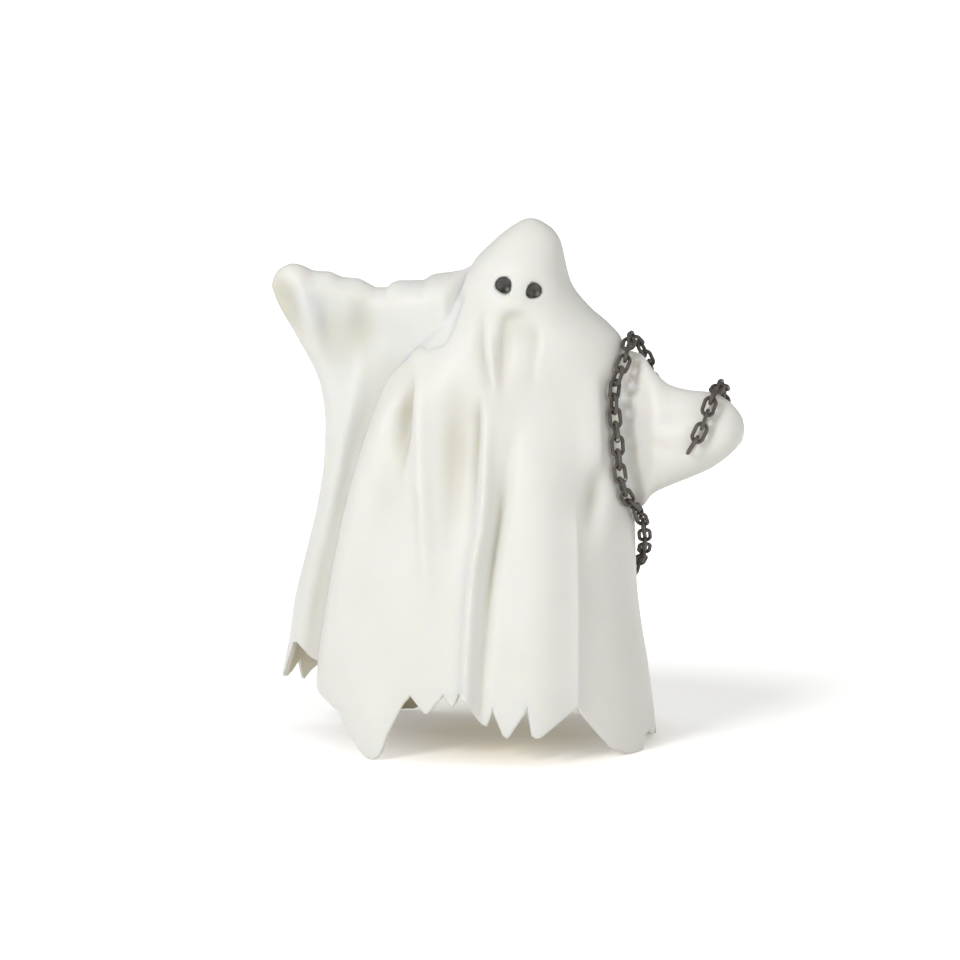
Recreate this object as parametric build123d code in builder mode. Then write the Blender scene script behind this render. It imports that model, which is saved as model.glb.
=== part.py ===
"""Sheet ghost figure: two drape shells, two sleeves, two eye cups and a chain of single links."""

from build123d import *
import os
from math import ceil, copysign, cos, exp, pi, sin

os.makedirs("parts", exist_ok=True)

# Sizes in millimetres. X runs to the viewer's right, Y away from the viewer, Z up from the floor.
wall = 1.8
fit_gap = 0.1
glue_gap = 0.08

# The drape: height, left edge, right edge, depth to the front and depth to the rear of the seam.
crown_height = 90.0
crown_shift = 4.0
drape_rings = [
    (0.0, -33.2, 26.0, 22.6, 22.4),
    (13.0, -32.5, 24.3, 21.4, 21.0),
    (29.0, -30.0, 22.2, 19.0, 18.4),
    (41.0, -27.5, 21.8, 17.2, 16.4),
    (53.0, -24.0, 21.0, 15.4, 14.6),
    (62.0, -20.6, 20.4, 14.0, 13.2),
    (69.0, -15.0, 19.4, 12.8, 12.2),
    (74.0, -10.6, 15.2, 12.0, 11.4),
    (79.0, -7.6, 11.4, 11.2, 10.6),
    (83.0, -5.2, 10.4, 9.8, 9.4),
    (86.5, -2.4, 9.0, 7.4, 7.2),
    (88.8, 0.6, 7.2, 4.4, 4.3),
    (89.6, 2.2, 5.8, 2.3, 2.3),
]
ring_pitch = 7.0
front_steps = 42
rear_steps = 30
ring_square = 0.9

# Folds that run down the sheet: X and Z of the upper end, X and Z of the lower end, width, height.
fold_fade = 9.0
front_folds = [
    (5.0, 60.0, 4.2, -20.0, 5.0, 2.0),
    (0.6, 57.0, -5.2, -20.0, 1.5, -1.6),
    (-3.5, 60.0, -8.2, -20.0, 1.5, 1.5),
    (-9.0, 66.0, -10.5, 28.0, 2.6, -1.3),
    (-14.7, 66.0, -13.7, 26.0, 1.7, 1.0),
    (-16.8, 68.0, -19.2, 40.0, 2.0, -1.4),
    (15.0, 56.0, 14.2, 34.0, 1.9, -1.0),
]
rear_folds = [
    (-11.4, 68.0, -18.4, -20.0, 2.8, 1.4),
    (-8.4, 62.0, -12.0, -20.0, 1.7, -1.2),
    (-1.8, 74.0, -5.8, -20.0, 2.1, 1.6),
    (0.8, 58.0, 0.3, -20.0, 1.7, -1.3),
    (6.0, 70.0, 8.9, -20.0, 2.7, 1.7),
    (13.8, 54.0, 16.4, -20.0, 1.7, -1.0),
    (-19.4, 64.0, -25.4, -20.0, 1.9, -0.9),
]

# The torn hem as X and Z of its points and notches; the points below the floor leave flat feet.
front_hem = [
    (-36.0, 10.4), (-30.8, 8.3), (-28.6, 7.2), (-26.6, 3.6), (-24.8, -1.0), (-21.3, -1.0),
    (-20.4, 4.4), (-17.9, 9.9), (-16.4, 11.6), (-13.7, 8.4), (-10.6, 12.0), (-9.2, 9.7),
    (-7.9, 12.4), (-3.7, 6.3), (-2.3, 10.1), (-0.3, 4.5), (3.5, 10.1), (4.7, 4.7), (11.5, 9.4),
    (14.4, 5.8), (18.2, -1.0), (23.6, -1.0), (23.2, 2.2), (24.3, 2.2), (24.6, -1.0), (30.0, -1.0),
]
rear_hem = [
    (-36.0, 10.4), (-29.0, 7.0), (-24.0, 3.0), (-20.5, -1.0), (-15.5, -1.0), (-12.0, 9.4),
    (-9.0, 5.2), (-5.0, 10.8), (-1.5, 4.2), (2.4, 10.4), (6.6, 5.6), (9.0, 9.6), (12.0, -1.0),
    (17.5, -1.0), (20.4, 7.0), (22.6, 2.4), (24.4, -1.0), (30.0, -1.0),
]

# The raised arm: X, lowest Z, highest Z, middle Y and half thickness of its oval sections.
raised_arm = [
    (-40.1, 76.9, 78.9, 1.6, 1.0),
    (-38.9, 74.8, 80.9, 1.6, 2.8),
    (-36.4, 71.6, 82.0, 1.6, 3.6),
    (-32.0, 69.4, 80.7, 1.8, 4.2),
    (-27.0, 68.4, 79.4, 2.0, 4.8),
    (-21.5, 66.6, 77.7, 1.8, 5.6),
    (-16.5, 64.8, 78.9, 1.2, 6.6),
    (-12.0, 63.6, 80.4, 0.8, 7.2),
    (-8.0, 63.4, 80.8, 0.4, 6.8),
    (-3.0, 65.0, 76.0, 0.0, 4.6),
]
# The sleeve under it: Z, outer edge, inner edge, middle Y and half thickness of its slot sections.
hanging_sleeve = [
    (5.0, -39.0, -14.0, 4.4, 7.0),
    (16.0, -37.7, -13.0, 3.8, 6.6),
    (28.0, -35.4, -12.0, 3.2, 6.2),
    (41.0, -32.3, -10.0, 2.6, 5.4),
    (53.0, -31.1, -8.0, 2.2, 4.6),
    (63.0, -32.4, -6.0, 2.0, 4.2),
    (72.0, -34.8, -5.0, 1.8, 3.4),
]
sleeve_roof = 60.0
sleeve_front_hem = [(-42.0, 18.4), (-37.4, 16.2), (-36.2, 15.4), (-34.4, 14.0), (-32.8, 13.2), (-8.0, 11.0)]
sleeve_rear_hem = [
    (-42.0, 13.0), (-38.7, 9.6), (-36.9, 11.6), (-35.6, 8.2), (-33.4, 11.4), (-30.0, 7.6),
    (-26.0, 12.0), (-22.0, 9.0), (-8.0, 12.0),
]

# The lowered arm, in the same columns as the raised one.
lowered_arm = [
    (12.0, 42.0, 67.0, 0.0, 4.0),
    (19.0, 39.0, 69.0, -0.4, 4.6),
    (22.4, 40.4, 68.0, -2.2, 6.0),
    (25.0, 43.6, 64.6, -4.7, 6.1),
    (27.6, 45.0, 62.0, -5.9, 5.9),
    (31.0, 46.6, 61.3, -6.8, 6.0),
    (34.4, 48.3, 61.2, -7.7, 5.5),
    (37.6, 50.8, 59.8, -8.2, 4.4),
    (39.4, 52.6, 57.4, -8.4, 2.6),
    (40.1, 54.0, 55.8, -8.5, 1.0),
]

# Round pegs that carry the sleeves in sockets of the drape.
raised_peg_radius = 4.0
raised_peg_y = 0.0
raised_peg_z = 71.5
lowered_peg_radius = 3.2
lowered_peg_y = -2.5
lowered_peg_z = 54.0
peg_reach = 4.0
peg_hold = 2.5

# Eyes: X, Z and radius of the hole, and how far the dark cup sits back from the face.
eyes = {"eye_cup_left": (-0.7, 79.9, 1.4), "eye_cup_right": (4.5, 79.0, 1.3)}
eye_setback = 0.7
eye_dish = 0.5

# Chain links are bent wire; neighbours are turned a quarter and threaded through each other.
link_length = 3.9
link_width = 2.5
link_wire = 0.66
link_play = 0.2
link_pitch = link_length - 2 * link_wire - link_play
seat_gap = 0.15
swag_drop = 8.5
tail_links = 3
# Where the chain lies on the figure: the start of a ray and the way it looks for the surface.
front, back, down, left = (0, 1, 0), (0, -1, 0), (0, 0, -1), (-1, 0, 0)
hand_rays = [
    ((36.0, 60, 56.5), back, 0.6), ((35.6, -7.0, 99), down, 0.1), ((34.2, -60, 59.4), front, 0.2),
    ((32.6, -60, 55.6), front, 0), ((30.6, -60, 52.3), front, 0), ((29.2, -60, 50.4), front, 0),
]
flank_rays = [
    ((23.0, 60, 59.5), back, 1.6), ((22.7, 60, 64.8), back, 0.4), ((21.6, -1.6, 99), down, 0.4),
    ((18.4, -60, 66.8), front, 0.4), ((17.2, -60, 63.4), front, 0.2), ((17.0, -60, 59.6), front, 0),
    ((17.4, -60, 55.0), front, 0), ((17.8, -60, 49.8), front, 0), ((18.6, -60, 44.8), front, 0),
    ((60, -5.0, 40.0), left, 0), ((60, -0.8, 35.4), left, 0.2), ((60, 3.4, 31.8), left, 0.4),
    ((60, 7.2, 28.4), left, 0.5), ((60, 10.6, 24.4), left, 0.5), ((60, 12.4, 18.2), left, 0.3),
]


def fold_height(folds, x, z):
    total = 0.0
    for top_x, top_z, low_x, low_z, width, height in folds:
        along = (top_z - z) / (top_z - low_z)
        line_x = top_x + (low_x - top_x) * along
        fade = max(0.0, min(1.0, (top_z - z) / fold_fade, (z - low_z) / fold_fade))
        total += height * fade * exp(-(((x - line_x) / width) ** 2))
    return total


def slope(rows, row, column):
    """Slope of a column at a row, level where the column turns, so that nothing overshoots."""
    if row in (0, len(rows) - 1):
        first, second = (rows[0], rows[1]) if row == 0 else (rows[-2], rows[-1])
        return (second[column] - first[column]) / (second[0] - first[0])
    below, here, above = rows[row - 1 : row + 2]
    under = (here[column] - below[column]) / (here[0] - below[0])
    over = (above[column] - here[column]) / (above[0] - here[0])
    return 0.0 if under * over <= 0 else 2 * under * over / (under + over)


def row_at(rows, place):
    """The columns of a table at any place between its first and last row."""
    row = max(i for i in range(len(rows) - 1) if rows[i][0] <= place or i == 0)
    low, high = rows[row], rows[row + 1]
    span = high[0] - low[0]
    t = (place - low[0]) / span
    values = []
    for column in range(1, len(low)):
        pull = span * slope(rows, row, column)
        push = span * slope(rows, row + 1, column)
        start, end = low[column], high[column]
        values.append(
            start + t * (pull + t * (3 * (end - start) - 2 * pull - push)
            + t * t * (2 * (start - end) + pull + push))
        )
    return values


def drape_ring(height, inset):
    left, right, front, rear = row_at(drape_rings, height)
    middle = (left + right) / 2
    half = (right - left) / 2 - inset
    points = []
    turns = [pi * step / rear_steps for step in range(rear_steps)]
    turns += [pi + pi * step / front_steps for step in range(front_steps)]
    for turn in turns:
        x = middle + half * copysign(abs(cos(turn)) ** ring_square, cos(turn))
        deep, folds = (rear, rear_folds) if sin(turn) > 0 else (front, front_folds)
        outward = copysign(abs(sin(turn)) ** ring_square, sin(turn))
        points.append((x, outward * (deep - inset + fold_height(folds, x, height))))
    return points


def drape_block(inset):
    lower = (crown_height - inset) / crown_height
    top = drape_rings[-1][0]
    levels = [ring_pitch * i for i in range(ceil(top / ring_pitch) - 1)]
    levels += [row[0] for row in drape_rings if row[0] > levels[-1] + ring_pitch / 3]
    with BuildPart() as block:
        sections = []
        for height in levels:
            narrow = min(inset, 0.45 * (crown_height - height)) if height > top - 1 else inset
            with BuildSketch(Plane.XY.offset(height * lower)) as section:
                with BuildLine():
                    Spline(*drape_ring(height, narrow), periodic=True)
                make_face()
            sections.append(section.sketch)
        sections.append(Vertex(crown_shift, 0, crown_height - inset))
        loft(sections)
    return block.part


def arm(stations):
    with BuildPart() as limb:
        for x, low, high, y, half in stations:
            with BuildSketch(Plane((x, y, (low + high) / 2), x_dir=(0, 1, 0), z_dir=(1, 0, 0))):
                Ellipse(half, (high - low) / 2)
        loft()
    return limb.part


def sleeve(stations, inset):
    with BuildPart() as tube:
        for z, outer, inner, y, half in stations:
            with BuildSketch(Plane(((outer + inner) / 2, y, z))):
                SlotOverall(inner - outer - 2 * inset, 2 * (half - inset))
        loft()
    return tube.part


def below_hem(points, near_y, far_y):
    drop = min(z for x, z in points) - 9.0
    with BuildPart() as under:
        with BuildSketch(Plane.XZ.offset(-near_y)):
            with BuildLine():
                Polyline(*points, (points[-1][0], drop), (points[0][0], drop), close=True)
            make_face()
        extrude(amount=near_y - far_y)
    return under.part


def link(plane):
    """One link: wire bent round a slot, long along the plane's X and flat in the plane."""
    bend = (link_width - link_wire) / 2
    straight = (link_length - link_width) / 2
    with BuildPart() as ring:
        with BuildLine(plane) as path:
            lower = Line((-straight, -bend), (straight, -bend))
            JernArc(lower @ 1, (1, 0), bend, 180)
            upper = Line((straight, bend), (-straight, bend))
            JernArc(upper @ 1, (-1, 0), bend, 180)
        with BuildSketch(Plane(path.line @ 0, z_dir=path.line % 0)):
            Circle(link_wire / 2)
        sweep()
    return ring.part


def seat(start, toward, lift):
    """First place where a ray meets the figure, raised so that an edge-on link clears it."""
    ray = Axis(start, toward)
    hits = []
    for solid in (outer_block, lowered_block):
        for face in solid.faces():
            hits += face.find_intersection_points(ray)
    point, normal = min(hits, key=lambda hit: (hit[0] - Vector(start)).dot(ray.direction))
    if normal.dot(ray.direction) > 0:
        normal = -normal
    middle = point + normal * (link_width / 2 + seat_gap + lift)
    return middle, (normal - ray.direction * 2).normalized()


def chain_run(rays):
    """Planes of the links that follow the seats of the rays, flat and edge-on by turns."""
    seats = [seat(*ray) for ray in rays]
    with BuildLine() as route:
        track = Spline(*[point for point, facing in seats])
    with BuildLine() as guide:
        lead = Spline(*[point + facing * link_width for point, facing in seats])
    planes = []
    reach = link_length / 2 - link_wire / 2
    while reach + link_length / 2 < track.length:
        share = reach / track.length
        along = track % share
        out = (lead @ share) - (track @ share)
        out = (out - along * out.dot(along)).normalized()
        face = out if len(planes) % 2 == 0 else along.cross(out)
        planes.append(Plane(track @ share, x_dir=along, z_dir=face))
        reach += link_pitch
    return planes


def hang_on(plane, line):
    """Turn the first link of a run so that its end bow lies along the line that the loop swings on."""
    pin = plane.origin - plane.x_dir * (link_length - link_wire) / 2
    along = (plane.x_dir - line * plane.x_dir.dot(line)).normalized()
    middle = pin + along * (link_length - link_wire) / 2
    return Plane(middle, x_dir=along, z_dir=along.cross(line))


def swag_run(first_pin, last_pin):
    """Planes of the links in the loop that hangs from two pins; the end links ride on the pins."""
    line = (last_pin - first_pin).normalized()
    down = Vector(0, 0, -1)
    down = (down - line * down.dot(line)).normalized()
    side = line.cross(-down)
    span = (last_pin - first_pin).length
    with BuildLine(Plane((first_pin + last_pin) / 2, x_dir=line, z_dir=side)):
        curve = EllipticalCenterArc((0, 0), span / 2, swag_drop, start_angle=180, arc_size=180)
    lap = link_length / 2 - 1.5 * link_wire - link_play
    steps = 2 * ceil((curve.length - 2 * lap) / link_pitch / 2)
    planes = []
    for number in range(steps + 1):
        share = (lap + (curve.length - 2 * lap) * number / steps) / curve.length
        along = curve % share
        face = side if number % 2 else along.cross(side)
        planes.append(Plane(curve @ share, x_dir=along, z_dir=face))
    return planes


outer_block = drape_block(0.0)
inner_block = drape_block(wall)
glue_block = drape_block(-glue_gap)
raised_arm_block = arm(raised_arm)
sleeve_block = sleeve(hanging_sleeve, 0.0)
hollow_rows = [row for row in hanging_sleeve if row[0] < sleeve_roof - 3]
hollow_rows.append((sleeve_roof, *row_at(hanging_sleeve, sleeve_roof)))
sleeve_hollow = sleeve(hollow_rows, wall)
lowered_block = arm(lowered_arm)
sleeve_middle = hanging_sleeve[0][3]

raised_edge = row_at(drape_rings, raised_peg_z)[0]
lowered_edge = row_at(drape_rings, lowered_peg_z)[1]


def peg(edge, y, z, radius, toward):
    """A peg along X that starts inside a sleeve and reaches through the drape's edge."""
    with BuildPart() as stub:
        with BuildSketch(Plane((edge - peg_hold * toward, y, z), x_dir=(0, 1, 0), z_dir=(toward, 0, 0))):
            Circle(radius)
        extrude(amount=peg_hold + wall + peg_reach)
    return stub.part


raised_peg = peg(raised_edge, raised_peg_y, raised_peg_z, raised_peg_radius, 1)
raised_socket = peg(raised_edge, raised_peg_y, raised_peg_z, raised_peg_radius + fit_gap, 1)
lowered_peg = peg(lowered_edge, lowered_peg_y, lowered_peg_z, lowered_peg_radius, -1)
lowered_socket = peg(lowered_edge, lowered_peg_y, lowered_peg_z, lowered_peg_radius + fit_gap, -1)
front_cut = below_hem(front_hem, -60.0, 0.0)
rear_cut = below_hem(rear_hem, 0.0, 60.0)
sleeve_front_cut = below_hem(sleeve_front_hem, -60.0, sleeve_middle)
sleeve_rear_cut = below_hem(sleeve_rear_hem, sleeve_middle, 60.0)

hand_planes = chain_run(hand_rays)
flank_planes = chain_run(flank_rays)
half_bow = (link_length - link_wire) / 2
first_pin = flank_planes[0].origin - flank_planes[0].x_dir * half_bow
last_pin = hand_planes[0].origin - hand_planes[0].x_dir * half_bow
swing_line = (last_pin - first_pin).normalized()
hand_planes[0] = hang_on(hand_planes[0], swing_line)
flank_planes[0] = hang_on(flank_planes[0], swing_line)
chain = {}
for run, planes in [
    ("hand", hand_planes),
    ("loop", swag_run(first_pin, last_pin)),
    ("flank", flank_planes[:-tail_links]),
    ("tail", flank_planes[-tail_links:]),
]:
    for number, plane in enumerate(planes, 1):
        chain[f"{run}_link_{number:02d}"] = link(plane)

eye_cups = {}
eye_holes = []
for label, (x, z, radius) in eyes.items():
    look = Axis((x, -60, z), (0, 1, 0))
    face_y = min(hit[0].Y for face in outer_block.faces() for hit in face.find_intersection_points(look))
    with BuildPart() as hole:
        with BuildSketch(Plane((x, face_y - wall, z), x_dir=(1, 0, 0), z_dir=(0, 1, 0))):
            Circle(radius)
        extrude(amount=3 * wall)
    eye_holes.append(hole.part)
    with BuildPart() as cup:
        with BuildSketch(Plane((x, face_y + eye_setback, z))):
            with BuildLine():
                dish = RadiusArc((0, eye_dish), (radius - fit_gap / 2, 0), 2.2 * radius)
                Polyline(dish @ 1, (radius - fit_gap / 2, wall), (0, wall), dish @ 0)
            make_face()
        revolve(axis=Axis((x, face_y, z), (0, 1, 0)))
    cup.part.label = label
    eye_cups[label] = cup.part

with BuildPart() as raised_sleeve:
    add(raised_arm_block)
    add(sleeve_block)
    add(sleeve_hollow, mode=Mode.SUBTRACT, clean=False)
    add(sleeve_front_cut, mode=Mode.SUBTRACT, clean=False)
    add(sleeve_rear_cut, mode=Mode.SUBTRACT, clean=False)
    add(glue_block, mode=Mode.SUBTRACT, clean=False)
    add(raised_peg)

with BuildPart() as lowered_outside:
    add(lowered_block)
    add(glue_block, mode=Mode.SUBTRACT, clean=False)

with BuildPart() as lowered_sleeve:
    add(lowered_outside.part.solids().sort_by(SortBy.VOLUME)[-1])
    add(lowered_peg)

with BuildPart() as shell:
    add(outer_block)
    add(inner_block, mode=Mode.SUBTRACT, clean=False)

with BuildPart() as front_drape:
    add(shell.part)
    split(bisect_by=Plane.XZ.offset(glue_gap / 2), keep=Keep.TOP)
    add(eye_holes, mode=Mode.SUBTRACT, clean=False)
    add(front_cut, mode=Mode.SUBTRACT, clean=False)
    add(raised_socket, mode=Mode.SUBTRACT, clean=False)
    add(lowered_socket, mode=Mode.SUBTRACT, clean=False)

with BuildPart() as rear_drape:
    add(shell.part)
    split(bisect_by=Plane.XZ.offset(-glue_gap / 2), keep=Keep.BOTTOM)
    add(rear_cut, mode=Mode.SUBTRACT, clean=False)
    add(raised_socket, mode=Mode.SUBTRACT, clean=False)
    add(lowered_socket, mode=Mode.SUBTRACT, clean=False)

for node, label in [
    (front_drape, "front_drape"),
    (rear_drape, "rear_drape"),
    (raised_sleeve, "raised_sleeve"),
    (lowered_sleeve, "lowered_sleeve"),
]:
    node.part.label = label
    export_step(node.part, f"parts/{label}.step")
    print(label, len(node.part.solids()), "solid", round(node.part.volume))
for label, solid in [*eye_cups.items(), *chain.items()]:
    solid.label = label
    export_step(solid, f"parts/{label}.step")
print(len(chain), "links")
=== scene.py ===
import math
import bpy
import numpy as np
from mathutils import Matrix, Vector


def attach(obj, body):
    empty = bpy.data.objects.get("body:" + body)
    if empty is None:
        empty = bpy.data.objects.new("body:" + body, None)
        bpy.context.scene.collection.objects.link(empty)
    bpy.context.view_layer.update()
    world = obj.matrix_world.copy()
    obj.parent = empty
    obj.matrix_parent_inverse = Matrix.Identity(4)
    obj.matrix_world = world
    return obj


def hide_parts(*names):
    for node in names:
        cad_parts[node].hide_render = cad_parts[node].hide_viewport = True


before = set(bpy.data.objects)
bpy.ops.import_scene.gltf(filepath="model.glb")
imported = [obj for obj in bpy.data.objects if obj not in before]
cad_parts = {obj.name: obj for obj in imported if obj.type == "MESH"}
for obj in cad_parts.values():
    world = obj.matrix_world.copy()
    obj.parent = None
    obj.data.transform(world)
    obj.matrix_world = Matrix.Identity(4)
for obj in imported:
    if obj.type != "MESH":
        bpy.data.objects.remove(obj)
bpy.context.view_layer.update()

mm = 0.001
tiny = 1e-9
creaseAngle = 50.0
# depth of a hollow that takes the whole painted crease shade
creaseShadeDepth = 2.0
grainSpan = (0.3, 0.7)
scene = bpy.context.scene
scene.view_settings.view_transform = "Standard"
print("frame loaded:", len(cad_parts), "solids")


# monotone cubic through knots: harmonic mean slopes, level where the knots turn
def through(places, values, where):
    places = np.asarray(places, float)
    values = np.asarray(values, float)
    span = np.diff(places)
    rise = np.diff(values) / span
    both = rise[:-1] * rise[1:]
    total = np.where(both > 0, rise[:-1] + rise[1:], 1.0)
    inner = np.where(both > 0, 2 * both / total, 0.0)
    slope = np.concatenate([rise[:1], inner, rise[-1:]])
    where = np.clip(where, places[0], places[-1])
    k = np.clip(np.searchsorted(places, where, side="right") - 1, 0, len(span) - 1)
    t = (where - places[k]) / span[k]
    pull, push = slope[k] * span[k], slope[k + 1] * span[k]
    step = values[k + 1] - values[k]
    return values[k] + t * (pull + t * (3 * step - 2 * pull - push + t * (pull + push - 2 * step)))


# a table of (place, value) read by the monotone cubic
def readTable(table, where):
    knots = np.array(table)
    return through(knots[:, 0], knots[:, 1], where)


# 0 before the first place, 1 after the second, eased between them
def ease(first, second, where):
    t = np.clip((where - first) / (second - first), 0, 1)
    return t * t * (3 - 2 * t)


# the greater of two heights with the corner between them rounded over: log of the summed exponentials
def softGreater(first, second, blend):
    return blend * np.logaddexp(first / blend, second / blend)


# unit normals of a grid of points: columns run along axis 1, rows along axis 0
def gridNormals(points, outward):
    along = np.gradient(points, axis=1)
    up = np.gradient(points, axis=0)
    normal = np.cross(along, up) * outward
    length = np.linalg.norm(normal, axis=2, keepdims=True)
    return normal / np.maximum(length, tiny)


# heights of folds: each fold is knots of (height, place, rise, left width, right width), a bell
# across the fold that is carried down its line; sharpness 2 is soft, 1 is an arris
def foldRise(folds, x, z):
    total = np.zeros_like(x)
    for sharpness, knots in folds:
        table = np.array(sorted(knots))
        inside = (z >= table[0, 0]) & (z <= table[-1, 0])
        line = through(table[:, 0], table[:, 1], z)
        rise = through(table[:, 0], table[:, 2], z)
        off = x - line
        left = np.interp(z, table[:, 0], table[:, 3])
        right = np.interp(z, table[:, 0], table[:, 4])
        width = np.where(off < 0, left, right)
        total += np.where(inside, rise, 0) * np.exp(-((np.abs(off) / width) ** sharpness))
    return total


# heights of round swellings and dents: (x, z, half width, half height, turn in degrees, rise)
def swellRise(swells, x, z):
    total = np.zeros_like(x)
    for midX, midZ, halfX, halfZ, turn, rise in swells:
        cosine, sine = math.cos(math.radians(turn)), math.sin(math.radians(turn))
        a = ((x - midX) * cosine + (z - midZ) * sine) / halfX
        b = ((z - midZ) * cosine - (x - midX) * sine) / halfZ
        total += rise * np.exp(-(a * a + b * b))
    return total


# share of the painted crease shade: none on a raised place, all of it in a hollow of full depth
def creaseShadeShare(rise):
    return ease(0, creaseShadeDepth, -rise)


# rings of points joined into quads; a quad with one doubled corner, as at a pole, is a triangle
def facesBetween(index, wrapRows=False, wrapColumns=False, flip=False):
    rows = np.vstack([index, index[:1]]) if wrapRows else index
    grid = np.hstack([rows, rows[:, :1]]) if wrapColumns else rows
    corners = [grid[:-1, :-1], grid[:-1, 1:], grid[1:, 1:], grid[1:, :-1]]
    quads = np.stack(corners, -1).reshape(-1, 4)
    if flip:
        quads = quads[:, ::-1]
    doubled = quads == np.roll(quads, -1, axis=1)
    whole = quads[~doubled.any(1)]
    pinched = doubled.sum(1) == 1
    triangles = quads[pinched][~doubled[pinched]].reshape(-1, 3)
    return whole.tolist() + triangles.tolist()


# a mesh from points in millimetres that rides on the figure, smooth but for edges past the crease angle
def makePiece(name, points, faces, material, nodes, marks):
    mesh = bpy.data.meshes.new(name)
    mesh.from_pydata((points * mm).tolist(), [], faces)
    for label, values in marks:
        layer = mesh.attributes.new(label, "FLOAT", "POINT")
        layer.data.foreach_set("value", np.ascontiguousarray(values, np.float32))
    mesh.validate()
    mesh.polygons.foreach_set("use_smooth", np.ones(len(mesh.polygons), bool))
    mesh.set_sharp_from_angle(angle=math.radians(creaseAngle))
    piece = bpy.data.objects.new(name, mesh)
    scene.collection.objects.link(piece)
    mesh.materials.append(material)
    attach(piece, "figure")
    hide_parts(*nodes)
    print(name, len(mesh.vertices), "points")
    return piece


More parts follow.
